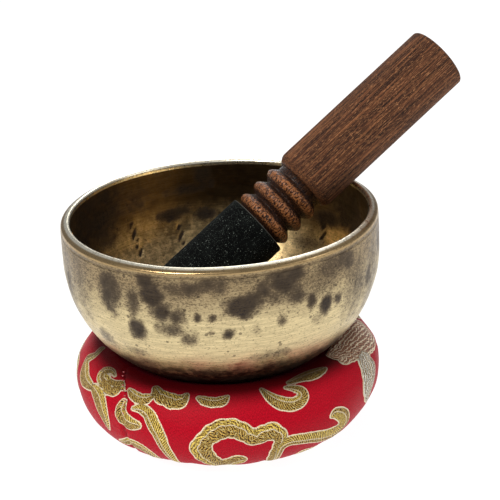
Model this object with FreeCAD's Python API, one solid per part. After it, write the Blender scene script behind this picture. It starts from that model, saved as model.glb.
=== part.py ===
"""A hammered bronze singing bowl on a brocade ring cushion, with its suede-covered mallet leaning in it.

Millimetres, +Z up. The origin is the centre of the cushion's underside, on the axis that the bowl
and the cushion share. The mallet's tip is near the bowl's -X wall, and its grip leans over the rim
towards +X and a little towards +Y.
"""
import FreeCAD, Part
import math
import os

from FreeCAD import Vector

# Bowl
BOWL_RADIUS = 70.0          # outside, at its widest
BOWL_HEIGHT = 70.0
RIM_DRAW_IN = 0.4           # how much smaller the outside is at the rim than at its widest
SHOULDER_DEPTH = 18.0       # below the rim, where the upright side turns into the round bottom
BOTTOM_FLARE = 0.788        # how far the round bottom moves in, as a share of its height
BASE_EDGE_RADIUS = 4.0
WALL = 3.0
LIP_WIDTH = 4.0             # the rim is thicker than the wall
LIP_DEPTH = 14.0            # how far down the extra thickness reaches
LIP_EDGE_RADIUS = 1.0

# Ring cushion
CUSHION_INSET = 0.9          # how much smaller than the bowl its radius is
WAIST_DROP_SHARE = 1.89      # how far the widest ring is below the crown's centre, over the side's bulge
FOOT_SHARE = 0.83            # how far the side moves in below the widest ring, over that ring's height
HOLE_SHARE = 0.483           # radius of the hole over radius of the flat patch under the bowl
HOLE_EDGE_RADIUS = 8.0
HOLE_FLARE = 0.82            # how far the hole widens towards the table, as a share of its depth
SEAT_HEIGHT = 29.5           # underside of the bowl above the table
SEAT_GRIP_SHARE = 0.194      # how far up the bowl's round bottom the cushion touches it
CROWN_SHARE = 0.76           # radius of the crown over how far its centre is inside the widest ring
SEAT_CLEARANCE = 0.3         # bowl to cushion

# Sewing thread of the cushion
THREAD_RADIUS = 0.3
THREAD_CLEARANCE = 0.05
THREAD_END_MARGIN = 1.2      # how far the joint thread stops short of the table
JOINT_AZIMUTH = 228.0        # degrees about +Z, where the two ends of the brocade tube meet

# Mallet
MALLET_LENGTH = 184.0
GRIP_RADIUS = 15.2
GRIP_END_ROUND = 1.2
GRIP_END_DOME = 0.5
GRIP_SHOULDER_SHARE = 1.47   # length over which the grip rounds down to the neck, over its depth
NECK_RADIUS = 11.8
BEAD_RADIUS = 14.5
BEAD_PITCH = 8.1
BEAD_COUNT = 3
PLAIN_NECK = 1.7             # between the last bead and the grip
SLEEVE_RADIUS = 15.4
SLEEVE_LENGTH = 70.5
SUEDE_THICKNESS = 2.0
GLUE_LINE = 0.05
BUTT_JOINT_WIDTH = 0.3       # between the two long edges of the rolled suede
MALLET_LEAN = 34.9           # degrees above level
MALLET_AZIMUTH = 20.0        # degrees from +X towards +Y
MALLET_OFFSET = 3.8          # the mallet's axis passes this far beside the bowl's axis
MALLET_CLEARANCE = 0.3       # mallet to bowl

# Heights and arcs that follow from the sizes above
RIM_Z = SEAT_HEIGHT + BOWL_HEIGHT
SHOULDER_Z = RIM_Z - SHOULDER_DEPTH
BASE_RADIUS = BOWL_RADIUS - BOTTOM_FLARE * (SHOULDER_Z - SEAT_HEIGHT)
CUSHION_RADIUS = BOWL_RADIUS - CUSHION_INSET
HOLE_RADIUS = HOLE_SHARE * BASE_RADIUS
ORIGIN = Vector(0, 0, 0)
UP = Vector(0, 0, 1)


def point(radius, height):
    """A point of a section that is turned about +Z."""
    return Vector(radius, 0, height)


def arc_radius(reach, drop):
    """Radius of the arc that starts upright, moves in by reach and along by drop."""
    return (reach**2 + drop**2) / (2 * reach)


def arc(centre, radius, start_angle, end_angle):
    """Arc in the section plane; angles in radians from the outward direction, upwards positive."""
    angles = (start_angle, (start_angle + end_angle) / 2, end_angle)
    ends = [centre + Vector(math.cos(a), 0, math.sin(a)) * radius for a in angles]
    return Part.Arc(*ends).toShape()


def line(start, end):
    return Part.LineSegment(start, end).toShape()


def turned(edges):
    """Solid made by turning a closed section about +Z."""
    return Part.Face(Part.Wire(edges)).revolve(ORIGIN, UP, 360)


BOTTOM_ARC = arc_radius(BOWL_RADIUS - BASE_RADIUS, SHOULDER_Z - SEAT_HEIGHT)
BOTTOM_CENTRE = point(BOWL_RADIUS - BOTTOM_ARC, SHOULDER_Z)


def bottom_angle(height, offset):
    """Angle on the bowl's round bottom, moved outwards by offset, at a height."""
    return math.asin((height - SHOULDER_Z) / (BOTTOM_ARC + offset))


def bottom_point(height, offset):
    """Point of the bowl's round bottom, moved outwards by offset, at a height."""
    angle = bottom_angle(height, offset)
    return BOTTOM_CENTRE + Vector(math.cos(angle), 0, math.sin(angle)) * (BOTTOM_ARC + offset)


def near_edges(solid, radius, height):
    """The circular edges of a turned solid that lie at a radius and height."""
    found = []
    for edge in solid.Edges:
        place = edge.Vertexes[0].Point
        if math.hypot(math.hypot(place.x, place.y) - radius, place.z - height) < 0.01:
            found.append(edge)
    return found


def make_bowl():
    base = bottom_point(SEAT_HEIGHT, 0)
    widest = point(BOWL_RADIUS, SHOULDER_Z)
    rim_outside = point(BOWL_RADIUS - RIM_DRAW_IN, RIM_Z)
    side_arc = arc_radius(RIM_DRAW_IN, SHOULDER_DEPTH)
    side_angle = math.asin(SHOULDER_DEPTH / side_arc)
    outside = turned([
        line(point(0, SEAT_HEIGHT), base),
        arc(BOTTOM_CENTRE, BOTTOM_ARC, bottom_angle(SEAT_HEIGHT, 0), 0),
        arc(widest - Vector(side_arc, 0, 0), side_arc, 0, side_angle),
        line(rim_outside, point(0, RIM_Z)),
        line(point(0, RIM_Z), point(0, SEAT_HEIGHT)),
    ])
    outside = outside.makeFillet(BASE_EDGE_RADIUS, near_edges(outside, base.x, base.z))

    floor = bottom_point(SEAT_HEIGHT + WALL, -WALL)
    inner_wall = point(BOWL_RADIUS - WALL, SHOULDER_Z)
    lip_foot = point(BOWL_RADIUS - WALL, RIM_Z - LIP_DEPTH)
    lip_inside = point(rim_outside.x - LIP_WIDTH, RIM_Z)
    inside = turned([
        line(point(0, floor.z), floor),
        arc(BOTTOM_CENTRE, BOTTOM_ARC - WALL, bottom_angle(floor.z, -WALL), 0),
        line(inner_wall, lip_foot),
        line(lip_foot, lip_inside),
        line(lip_inside, point(0, RIM_Z)),
        line(point(0, RIM_Z), point(0, floor.z)),
    ])
    bowl = outside.cut(inside)
    lip_edges = near_edges(bowl, rim_outside.x, RIM_Z) + near_edges(bowl, lip_inside.x, RIM_Z)
    return bowl.makeFillet(LIP_EDGE_RADIUS, lip_edges)


def along(centre, radius, angle):
    """Point of the section at an angle round a centre."""
    return centre + Vector(math.cos(angle), 0, math.sin(angle)) * radius


# The cushion's section: from the foot a round side up to the widest ring, a rounder one above it,
# and a crown that rolls over until it lies against the bowl; all of them meet without a corner
SEAT_Z = SEAT_HEIGHT - SEAT_CLEARANCE
SEAT_ARC = BOTTOM_ARC + SEAT_CLEARANCE
GRIP_Z = SEAT_HEIGHT + SEAT_GRIP_SHARE * (SHOULDER_Z - SEAT_HEIGHT)
GRIP_ANGLE = bottom_angle(GRIP_Z, SEAT_CLEARANCE)
ROOM = CUSHION_RADIUS - bottom_point(GRIP_Z, SEAT_CLEARANCE).x
CROWN_ARC = CROWN_SHARE * ROOM / (1 + CROWN_SHARE * math.cos(GRIP_ANGLE))
CROWN_CENTRE = along(BOTTOM_CENTRE, SEAT_ARC + CROWN_ARC, GRIP_ANGLE)
CROWN_INSET = CUSHION_RADIUS - CROWN_CENTRE.x
CROWN_RISE = WAIST_DROP_SHARE * (CROWN_INSET - CROWN_ARC)
WAIST_Z = CROWN_CENTRE.z - CROWN_RISE
SIDE_ARC = (CROWN_INSET**2 + CROWN_RISE**2 - CROWN_ARC**2) / (2 * (CROWN_INSET - CROWN_ARC))
SIDE_CENTRE = point(CUSHION_RADIUS - SIDE_ARC, WAIST_Z)
SIDE_ANGLE = math.atan2(CROWN_RISE, CROWN_CENTRE.x - SIDE_CENTRE.x)
FOOT_OUTER_RADIUS = CUSHION_RADIUS - FOOT_SHARE * WAIST_Z
LOWER_ARC = arc_radius(CUSHION_RADIUS - FOOT_OUTER_RADIUS, WAIST_Z)
LOWER_ANGLE = -math.asin(WAIST_Z / LOWER_ARC)
LOWER_CENTRE = point(CUSHION_RADIUS - LOWER_ARC, WAIST_Z)
HOLE_Z = SEAT_Z - HOLE_EDGE_RADIUS
FOOT_INNER_RADIUS = HOLE_RADIUS + HOLE_FLARE * HOLE_Z


def make_cushion():
    """The ring of brocade and its wadding, as one soft solid that fits round the bowl."""
    seat_edge_angle = bottom_angle(SEAT_Z, SEAT_CLEARANCE)
    edge_centre = point(HOLE_RADIUS + HOLE_EDGE_RADIUS, HOLE_Z)
    hole_arc = arc_radius(FOOT_INNER_RADIUS - HOLE_RADIUS, HOLE_Z)
    hole_angle = math.pi + math.asin(HOLE_Z / hole_arc)
    return turned([
        line(point(FOOT_INNER_RADIUS, 0), point(FOOT_OUTER_RADIUS, 0)),
        arc(LOWER_CENTRE, LOWER_ARC, LOWER_ANGLE, 0),
        arc(SIDE_CENTRE, SIDE_ARC, 0, SIDE_ANGLE),
        arc(CROWN_CENTRE, CROWN_ARC, SIDE_ANGLE, GRIP_ANGLE + math.pi),
        arc(BOTTOM_CENTRE, SEAT_ARC, GRIP_ANGLE, seat_edge_angle),
        line(bottom_point(SEAT_Z, SEAT_CLEARANCE), edge_centre + UP * HOLE_EDGE_RADIUS),
        arc(edge_centre, HOLE_EDGE_RADIUS, math.pi / 2, math.pi),
        arc(point(HOLE_RADIUS + hole_arc, HOLE_Z), hole_arc, math.pi, hole_angle),
    ])


def make_joint_thread():
    """Thread along the crease where the ends of the brocade tube are sewn together."""
    stand_off = THREAD_RADIUS + THREAD_CLEARANCE
    top_angle = math.pi / 2
    low_angle = LOWER_ANGLE + (THREAD_END_MARGIN + stand_off) / LOWER_ARC
    path = Part.Wire([
        arc(LOWER_CENTRE, LOWER_ARC + stand_off, low_angle, 0),
        arc(SIDE_CENTRE, SIDE_ARC + stand_off, 0, SIDE_ANGLE),
        arc(CROWN_CENTRE, CROWN_ARC + stand_off, SIDE_ANGLE, top_angle),
    ])
    start = path.Edges[0].valueAt(path.Edges[0].FirstParameter)
    along = path.Edges[0].tangentAt(path.Edges[0].FirstParameter)
    section = Part.Wire(Part.Circle(start, along, THREAD_RADIUS).toShape())
    thread = path.makePipeShell([section], True, True)
    thread.rotate(ORIGIN, UP, JOINT_AZIMUTH)
    return thread


def make_gather_thread():
    """Thread that draws the brocade together round the hole."""
    ring_radius = HOLE_RADIUS - THREAD_RADIUS - THREAD_CLEARANCE
    ring = Part.makeTorus(ring_radius, THREAD_RADIUS)
    ring.translate(UP * HOLE_Z)
    return ring


def mallet_placement():
    """Where the mallet's tip is, and the turn that lays its length along its lean."""
    lean = math.radians(MALLET_LEAN)
    azimuth = math.radians(MALLET_AZIMUTH)
    level = Vector(math.cos(azimuth), math.sin(azimuth), 0)
    beside = Vector(-math.sin(azimuth), math.cos(azimuth), 0)
    # the grip rests on the round inner edge of the rim
    edge_radius = BOWL_RADIUS - RIM_DRAW_IN - LIP_WIDTH + LIP_EDGE_RADIUS
    edge_z = RIM_Z - LIP_EDGE_RADIUS
    reach = GRIP_RADIUS + LIP_EDGE_RADIUS + MALLET_CLEARANCE
    axis_x = math.sqrt(edge_radius**2 - MALLET_OFFSET**2) - reach / math.sin(lean)
    # the sleeve's lower corner rests on the round wall or on the floor
    corner_x = axis_x + SLEEVE_RADIUS * math.sin(lean)
    corner_z = edge_z - SLEEVE_RADIUS * math.cos(lean)
    from_centre_x = corner_x + BOTTOM_CENTRE.x
    from_centre_z = corner_z - SHOULDER_Z
    room = BOTTOM_ARC - WALL - MALLET_CLEARANCE
    half = from_centre_x * math.cos(lean) + from_centre_z * math.sin(lean)
    within = half**2 - from_centre_x**2 - from_centre_z**2 + room**2
    along = (SEAT_HEIGHT + WALL + MALLET_CLEARANCE - corner_z) / math.sin(lean)
    if within > 0:
        along = max(along, -half - math.sqrt(within))
    tip = level * (axis_x + along * math.cos(lean)) + beside * MALLET_OFFSET
    tip.z = edge_z + along * math.sin(lean)
    direction = level * math.cos(lean) + UP * math.sin(lean)
    return FreeCAD.Placement(tip, FreeCAD.Rotation(UP, direction))


CORE_RADIUS = SLEEVE_RADIUS - SUEDE_THICKNESS - GLUE_LINE
BEADS_END = SLEEVE_LENGTH + BEAD_COUNT * BEAD_PITCH
GRIP_START = BEADS_END + PLAIN_NECK
GRIP_SHOULDER = GRIP_SHOULDER_SHARE * (GRIP_RADIUS - NECK_RADIUS)


def make_mallet_wood():
    """Turned rosewood: the core under the suede, three beads and the grip."""
    edges = [line(point(0, 0), point(CORE_RADIUS, 0))]
    edges.append(line(point(CORE_RADIUS, 0), point(CORE_RADIUS, SLEEVE_LENGTH)))
    edges.append(line(point(CORE_RADIUS, SLEEVE_LENGTH), point(NECK_RADIUS, SLEEVE_LENGTH)))
    for number in range(BEAD_COUNT):
        start = SLEEVE_LENGTH + number * BEAD_PITCH
        edges.append(Part.Arc(point(NECK_RADIUS, start),
                              point(BEAD_RADIUS, start + BEAD_PITCH / 2),
                              point(NECK_RADIUS, start + BEAD_PITCH)).toShape())
    edges.append(line(point(NECK_RADIUS, BEADS_END), point(NECK_RADIUS, GRIP_START)))
    shoulder_arc = arc_radius(GRIP_RADIUS - NECK_RADIUS, GRIP_SHOULDER)
    shoulder_z = GRIP_START + GRIP_SHOULDER
    edges.append(arc(point(GRIP_RADIUS - shoulder_arc, shoulder_z), shoulder_arc,
                     -math.asin(GRIP_SHOULDER / shoulder_arc), 0))
    side_end = MALLET_LENGTH - GRIP_END_DOME - GRIP_END_ROUND
    edges.append(line(point(GRIP_RADIUS, shoulder_z), point(GRIP_RADIUS, side_end)))
    edges.append(arc(point(GRIP_RADIUS - GRIP_END_ROUND, side_end), GRIP_END_ROUND, 0, math.pi / 2))
    dome_edge = point(GRIP_RADIUS - GRIP_END_ROUND, side_end + GRIP_END_ROUND)
    dome_arc = arc_radius(GRIP_END_DOME, dome_edge.x)
    edges.append(arc(point(0, MALLET_LENGTH - dome_arc), dome_arc,
                     math.pi / 2 - math.asin(dome_edge.x / dome_arc), math.pi / 2))
    edges.append(line(point(0, MALLET_LENGTH), point(0, 0)))
    wood = turned(edges)
    wood.Placement = mallet_placement()
    return wood


def make_suede_sleeve():
    """One strip of suede rolled once round the core, its long edges meeting underneath."""
    tube = Part.makeCylinder(SLEEVE_RADIUS, SLEEVE_LENGTH)
    tube = tube.cut(Part.makeCylinder(SLEEVE_RADIUS - SUEDE_THICKNESS, SLEEVE_LENGTH))
    joint = Part.makeBox(SLEEVE_RADIUS * 2, BUTT_JOINT_WIDTH, SLEEVE_LENGTH,
                         Vector(0, -BUTT_JOINT_WIDTH / 2, 0))
    underside = mallet_placement().Rotation.inverted().multVec(-UP)
    joint.rotate(ORIGIN, UP, math.degrees(math.atan2(underside.y, underside.x)))
    sleeve = tube.cut(joint)
    sleeve.Placement = mallet_placement()
    return sleeve


def main():
    os.makedirs("parts", exist_ok=True)
    nodes = {
        "bowl": make_bowl(),
        "mallet_wood": make_mallet_wood(),
        "suede_sleeve": make_suede_sleeve(),
        "cushion": make_cushion(),
        "joint_thread": make_joint_thread(),
        "gather_thread": make_gather_thread(),
    }
    for name, shape in nodes.items():
        shape.exportStep("parts/" + name + ".step")
        print(name, shape.isValid(), len(shape.Solids), round(shape.Volume, 1))
    tip = mallet_placement().Base
    print("mallet tip", [round(value, 2) for value in tip])


main()
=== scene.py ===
"""A hammered singing bowl on its brocade ring cushion, with a rosewood and suede mallet in it."""

import math

import bmesh
import bpy
import numpy as np
from mathutils import Matrix, Vector, noise


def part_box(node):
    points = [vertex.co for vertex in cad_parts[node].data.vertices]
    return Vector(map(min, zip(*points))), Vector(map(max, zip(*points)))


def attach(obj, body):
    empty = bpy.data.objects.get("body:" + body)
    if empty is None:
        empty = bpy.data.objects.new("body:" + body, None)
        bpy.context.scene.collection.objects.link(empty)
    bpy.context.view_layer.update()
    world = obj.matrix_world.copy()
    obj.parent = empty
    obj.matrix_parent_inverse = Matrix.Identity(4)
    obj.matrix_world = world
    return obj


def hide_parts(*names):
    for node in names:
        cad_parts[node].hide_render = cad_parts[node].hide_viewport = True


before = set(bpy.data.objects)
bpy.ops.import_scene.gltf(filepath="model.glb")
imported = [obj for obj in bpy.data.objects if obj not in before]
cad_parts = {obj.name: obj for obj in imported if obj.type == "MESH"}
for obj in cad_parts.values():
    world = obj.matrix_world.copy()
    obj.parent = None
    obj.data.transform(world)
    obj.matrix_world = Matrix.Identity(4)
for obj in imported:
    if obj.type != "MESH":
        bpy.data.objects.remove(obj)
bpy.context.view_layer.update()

bl_info = {
    "name": "Singing bowl",
    "version": (1, 0, 0),
    "blender": (4, 5, 0),
    "location": "3D View > Sidebar > Singing bowl",
    "description": "Builds a hammered bronze singing bowl with its mallet and ring cushion",
    "category": "Object",
}

MM = 0.001
UP = Vector((0, 0, 1))
BOWL_LOW, BOWL_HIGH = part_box("bowl")
CUSHION_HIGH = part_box("cushion")[1]
SLEEVE_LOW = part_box("suede_sleeve")[0]

# Bowl, metres
RIM_Z = BOWL_HIGH.z
SEAT_Z = BOWL_LOW.z
BOWL_RADIUS = BOWL_HIGH.x
RIM_DRAW_IN = 0.4 * MM
SHOULDER_Z = RIM_Z - 18 * MM
BASE_RADIUS = 29.02 * MM
BASE_EDGE = 4 * MM
WALL = 3 * MM
LIP_WIDTH = 4 * MM
LIP_FALL = 1.2 * MM
LIP_DEPTH = 14 * MM

# Cushion, metres
CUSHION_RADIUS = CUSHION_HIGH.x
FOOT_SHARE = 0.83
FOOT_INNER = 31.4 * MM
HOLE_RADIUS = 14.02 * MM
HOLE_EDGE = 8 * MM
SEAT_CLEARANCE = 0.3 * MM
SEAT_GRIP_SHARE = 0.194
CROWN_SHARE = 0.76
WAIST_DROP_SHARE = 1.89
JOINT_AZIMUTH = 228.0

# Mallet, metres and degrees
MALLET_LENGTH = 184 * MM
SLEEVE_RADIUS = 15.4 * MM
SLEEVE_LENGTH = 70.5 * MM
SUEDE_THICKNESS = 2 * MM
GRIP_RADIUS = 15.2 * MM
NECK_RADIUS = 11.8 * MM
BEAD_RADIUS = 14.5 * MM
BEAD_PITCH = 8.1 * MM
BEAD_COUNT = 3
PLAIN_NECK = 1.7 * MM
GROOVE_EXTRA = 0.6 * MM   # how far the turning tool ran under the neck's radius
GRIP_SHOULDER = 5 * MM
MALLET_LEAN = 34.9
MALLET_AZIMUTH = 20.0

# Mesh steps round the axis
BOWL_STEPS = 352
CUSHION_STEPS = 240
WOOD_STEPS = 128
SLEEVE_STEPS = 150


def arc_radius(reach, drop):
    """Radius of an arc that starts upright and moves in by reach and along by drop."""
    return (reach**2 + drop**2) / (2 * reach)


BOTTOM_ARC = arc_radius(BOWL_RADIUS - BASE_RADIUS, SHOULDER_Z - SEAT_Z)
BOTTOM_CENTRE = BOWL_RADIUS - BOTTOM_ARC
SEAT_ARC = BOTTOM_ARC + SEAT_CLEARANCE
GRIP_ANGLE = -math.asin((1 - SEAT_GRIP_SHARE) * (SHOULDER_Z - SEAT_Z) / SEAT_ARC)
ROOM = CUSHION_RADIUS - BOTTOM_CENTRE - SEAT_ARC * math.cos(GRIP_ANGLE)
CROWN_ARC = CROWN_SHARE * ROOM / (1 + CROWN_SHARE * math.cos(GRIP_ANGLE))
CROWN_R = BOTTOM_CENTRE + (SEAT_ARC + CROWN_ARC) * math.cos(GRIP_ANGLE)
CROWN_Z = SHOULDER_Z + (SEAT_ARC + CROWN_ARC) * math.sin(GRIP_ANGLE)
CROWN_INSET = CUSHION_RADIUS - CROWN_R
CROWN_RISE = WAIST_DROP_SHARE * (CROWN_INSET - CROWN_ARC)
WAIST_Z = CROWN_Z - CROWN_RISE
SIDE_ARC = (CROWN_INSET**2 + CROWN_RISE**2 - CROWN_ARC**2) / (2 * (CROWN_INSET - CROWN_ARC))
SIDE_ANGLE = math.atan2(CROWN_RISE, CROWN_R - CUSHION_RADIUS + SIDE_ARC)
LOWER_ARC = arc_radius(FOOT_SHARE * WAIST_Z, WAIST_Z)
LOWER_ANGLE = math.asin(WAIST_Z / LOWER_ARC)
FOOT_OUTER = CUSHION_RADIUS - FOOT_SHARE * WAIST_Z


# ---------------------------------------------------------------- settings
class BowlSettings(bpy.types.PropertyGroup):
    """Sizes and colours of the bowl."""
    hammer_depth: bpy.props.FloatProperty(
        name="Hammer marks", description="Depth of the broad hammer marks",
        default=0.16 * MM, unit="LENGTH", precision=5)
    rim_waver: bpy.props.FloatProperty(
        name="Rim waver", description="How far the rim wavers up and down",
        default=0.22 * MM, unit="LENGTH", precision=5)
    # The paler metal low on the outside, which also stands in for a painted highlight there.
    pale_bronze_and_highlight: bpy.props.FloatVectorProperty(
        name="Pale bronze", description="Colour of the rubbed metal", subtype="COLOR",
        default=(0.70, 0.57, 0.32))
    # The toned metal of the upper wall, which also stands in for painted shade there.
    brown_bronze_and_shade: bpy.props.FloatVectorProperty(
        name="Brown bronze", description="Colour of the toned metal", subtype="COLOR",
        default=(0.33, 0.235, 0.125))
    # The charcoal of the patches; inside, it also colours the painted dark reflection at the sides.
    scorch_and_reflection: bpy.props.FloatVectorProperty(
        name="Scorch", description="Colour of the fire-darkened patches", subtype="COLOR",
        default=(0.026, 0.022, 0.025))


class CushionSettings(bpy.types.PropertyGroup):
    """Sizes and colours of the ring cushion."""
    swell: bpy.props.FloatProperty(
        name="Swell", description="Most that the cloth may move while it swells",
        default=1.6 * MM, unit="LENGTH", precision=5)
    emboss: bpy.props.FloatProperty(
        name="Figure height", description="How far the woven figures stand up",
        default=0.22 * MM, unit="LENGTH", precision=5)
    crimson: bpy.props.FloatVectorProperty(
        name="Crimson", description="Colour of the satin ground", subtype="COLOR",
        default=(0.40, 0.0006, 0.011))
    gold: bpy.props.FloatVectorProperty(
        name="Gold", description="Colour of the gold yarn", subtype="COLOR",
        default=(0.62, 0.40, 0.09))
    outline: bpy.props.FloatVectorProperty(
        name="Outline", description="Colour of the pale yarn round the figures", subtype="COLOR",
        default=(0.86, 0.74, 0.52))


class MalletSettings(bpy.types.PropertyGroup):
    """Colours of the mallet."""
    heartwood: bpy.props.FloatVectorProperty(
        name="Heartwood", description="Lighter colour of the rosewood", subtype="COLOR",
        default=(0.30, 0.112, 0.040))
    dark_grain: bpy.props.FloatVectorProperty(
        name="Dark grain", description="Colour of the rosewood's dark streaks", subtype="COLOR",
        default=(0.026, 0.009, 0.005))
    suede: bpy.props.FloatVectorProperty(
        name="Suede", description="Colour of the black suede", subtype="COLOR",
        default=(0.0022, 0.0028, 0.0026))


# ---------------------------------------------------------------- mesh helpers
def arc_points(centre, radius, start, end, count):
    """Points (radius, height) along an arc; angles in radians from the outward direction."""
    return [(centre[0] + radius * math.cos(start + (end - start) * i / count),
             centre[1] + radius * math.sin(start + (end - start) * i / count))
            for i in range(count + 1)]


def line_points(start, end, count):
    return [(start[0] + (end[0] - start[0]) * i / count,
             start[1] + (end[1] - start[1]) * i / count) for i in range(count + 1)]


def joined_points(*stretches):
    """One list of section points from stretches that meet end to end."""
    points = list(stretches[0])
    for stretch in stretches[1:]:
        points += stretch[1:]
    return points


def turned_mesh(points, steps, closed, angle=math.tau):
    """A bmesh made by spinning a section about +Z."""
    bm = bmesh.new()
    verts = [bm.verts.new((r, 0, z)) for r, z in points]
    edges = [bm.edges.new(pair) for pair in zip(verts, verts[1:])]
    if closed:
        edges.append(bm.edges.new((verts[-1], verts[0])))
    full = angle == math.tau
    bmesh.ops.spin(bm, geom=verts + edges, cent=(0, 0, 0), axis=(0, 0, 1), angle=angle, steps=steps,
                   use_merge=full)
    bmesh.ops.remove_doubles(bm, verts=bm.verts, dist=1e-6)
    return bm


def finished_object(name, bm, body, material, replaces=()):
    """Makes the piece from its bmesh, smooth, on its body and with its finish."""
    bmesh.ops.recalc_face_normals(bm, faces=bm.faces)
    mesh = bpy.data.meshes.new(name)
    bm.to_mesh(mesh)
    bm.free()
    mesh.shade_smooth()
    piece = bpy.data.objects.new(name, mesh)
    bpy.context.scene.collection.objects.link(piece)
    mesh.materials.append(material)
    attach(piece, body)
    if replaces:
        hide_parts(*replaces)
    return piece


def coordinates(mesh):
    found = np.zeros(len(mesh.vertices) * 3)
    mesh.vertices.foreach_get("co", found)
    return found.reshape(-1, 3)


def vertex_normals(mesh):
    return np.array([v.normal for v in mesh.vertices])


def axis_distance(places):
    return np.hypot(places[:, 0], places[:, 1])


def azimuth_of(places):
    return np.degrees(np.arctan2(places[:, 1], places[:, 0]))


def turned_from(azimuth, middle):
    """Degrees anticlockwise from middle, between -180 and 180."""
    return (azimuth - middle + 180) % 360 - 180


def set_coordinates(mesh, places):
    mesh.vertices.foreach_set("co", places.ravel())
    mesh.update()


def store(mesh, name, values):
    """Writes one number, or one triple, for each vertex as a named attribute."""
    kind = "FLOAT" if values.ndim == 1 else "FLOAT_VECTOR"
    attribute = mesh.attributes.new(name, kind, "POINT")
    attribute.data.foreach_set("value" if values.ndim == 1 else "vector",
                               values.astype(np.float32).ravel())


def smooth_step(low, high, value):
    share = np.clip((value - low) / (high - low), 0, 1)
    return share * share * (3 - 2 * share)


# ---------------------------------------------------------------- node helpers
class Nodes:
    """Adds shader nodes to one tree. A value is a number, a colour or another node's output."""
    def __init__(self, tree):
        self.tree = tree

    def set(self, socket, value):
        if isinstance(value, bpy.types.NodeSocket):
            self.tree.links.new(value, socket)
        elif socket.type == "RGBA" and isinstance(value, (tuple, list)) and len(value) == 3:
            socket.default_value = (*value, 1)
        else:
            socket.default_value = value

    def add(self, kind, values, **settings):
        """A new node with its settings and the values of its inputs. Gives its outputs."""
        node = self.tree.nodes.new("ShaderNode" + kind)
        for name, setting in settings.items():
            setattr(node, name, setting)
        for key, value in values.items():
            self.set(node.inputs[key], value)
        return node.outputs

    def math(self, operation, *values, clamp=False):
        return self.add("Math", dict(enumerate(values)), operation=operation, use_clamp=clamp)[0]

    def plus(self, first, second):
        return self.math("ADD", first, second)

    def minus(self, first, second, clamp=False):
        return self.math("SUBTRACT", first, second, clamp=clamp)

    def times(self, first, second):
        return self.math("MULTIPLY", first, second)

    def wave(self, value, period):
        """The sine of value, once round for each period."""
        return self.math("SINE", self.times(value, math.tau / period))

    def step(self, value, low, high, to_low=0.0, to_high=1.0):
        """A smooth change from to_low to to_high as value goes from low to high."""
        return self.add("MapRange", dict(enumerate((value, low, high, to_low, to_high))),
                        interpolation_type="SMOOTHSTEP")[0]

    def mix(self, factor, first, second, blend="MIX"):
        return self.add("Mix", {0: factor, 6: first, 7: second}, data_type="RGBA",
                        blend_type=blend)[2]

    def tint(self, mask, most, first, second):
        """Mixes second into first, by most where mask is 1."""
        return self.mix(self.times(mask, most), first, second)

    def noise(self, vector, scale, detail=3.0, roughness=0.5, distortion=0.0):
        return self.add("TexNoise", {"Vector": vector, "Scale": scale, "Detail": detail,
                                     "Roughness": roughness, "Distortion": distortion})[0]

    def stretch(self, vector, scale, offset=(0, 0, 0)):
        return self.add("Mapping", {"Vector": vector, "Scale": scale, "Location": offset})[0]

    def attribute(self, name, output="Fac"):
        return self.add("Attribute", {}, attribute_name=name)[output]

    def object_place(self):
        return self.add("TexCoord", {})["Object"]

    def parts(self, vector):
        return self.add("SeparateXYZ", {0: vector})

    def length(self, vector):
        return self.add("VectorMath", {0: vector}, operation="LENGTH")["Value"]

    def bump(self, height, distance, strength=1.0, normal=None):
        values = {"Strength": strength, "Distance": distance, "Height": height}
        if normal is not None:
            values["Normal"] = normal
        return self.add("Bump", values)[0]

    def specks(self, vector, scale, size, share):
        values = {"Vector": vector, "Scale": scale, "Size": size, "Share": share}
        return self.add("Group", values, node_tree=speckle_group())["Mask"]

    def streaks(self, vector, across, along, sharpness):
        values = {"Vector": vector, "Across": across, "Along": along, "Sharpness": sharpness}
        return self.add("Group", values, node_tree=streak_group())["Value"]


def new_material(name, **plain):
    """A material, its nodes and its Principled shader, with plain values set on the sockets."""
    material = bpy.data.materials.new(name)
    material.use_nodes = True
    nodes = Nodes(material.node_tree)
    shader = material.node_tree.nodes["Principled BSDF"].inputs
    for key, value in plain.items():
        nodes.set(shader[key.replace("_", " ")], value)
    return material, nodes, shader


def new_group(name, numbers, output):
    """A shader node group that takes a vector and named numbers: its nodes, inputs and output."""
    group = bpy.data.node_groups.new(name, "ShaderNodeTree")
    group.interface.new_socket("Vector", in_out="INPUT", socket_type="NodeSocketVector")
    for label, value in numbers.items():
        made = group.interface.new_socket(label, in_out="INPUT", socket_type="NodeSocketFloat")
        made.default_value = value
    group.interface.new_socket(output, in_out="OUTPUT", socket_type="NodeSocketFloat")
    given = group.nodes.new("NodeGroupInput").outputs
    return Nodes(group), given, group.nodes.new("NodeGroupOutput").inputs[0]


# ---------------------------------------------------------------- shared effects
def speckle_group():
    """Small scattered specks: a mask that is 1 on a speck."""
    if "Specks" in bpy.data.node_groups:
        return bpy.data.node_groups["Specks"]
    n, given, mask = new_group("Specks", {"Scale": 1000.0, "Size": 0.15, "Share": 0.1}, "Mask")
    cells = n.add("TexVoronoi", {"Vector": given["Vector"], "Scale": given["Scale"]})
    chance = n.add("SeparateColor", {0: cells["Color"]})
    chosen = n.math("LESS_THAN", chance[0], given["Share"])
    near = n.math("LESS_THAN", cells["Distance"], n.times(given["Size"], chance[1]))
    n.set(mask, n.times(chosen, near))
    return n.tree


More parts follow.
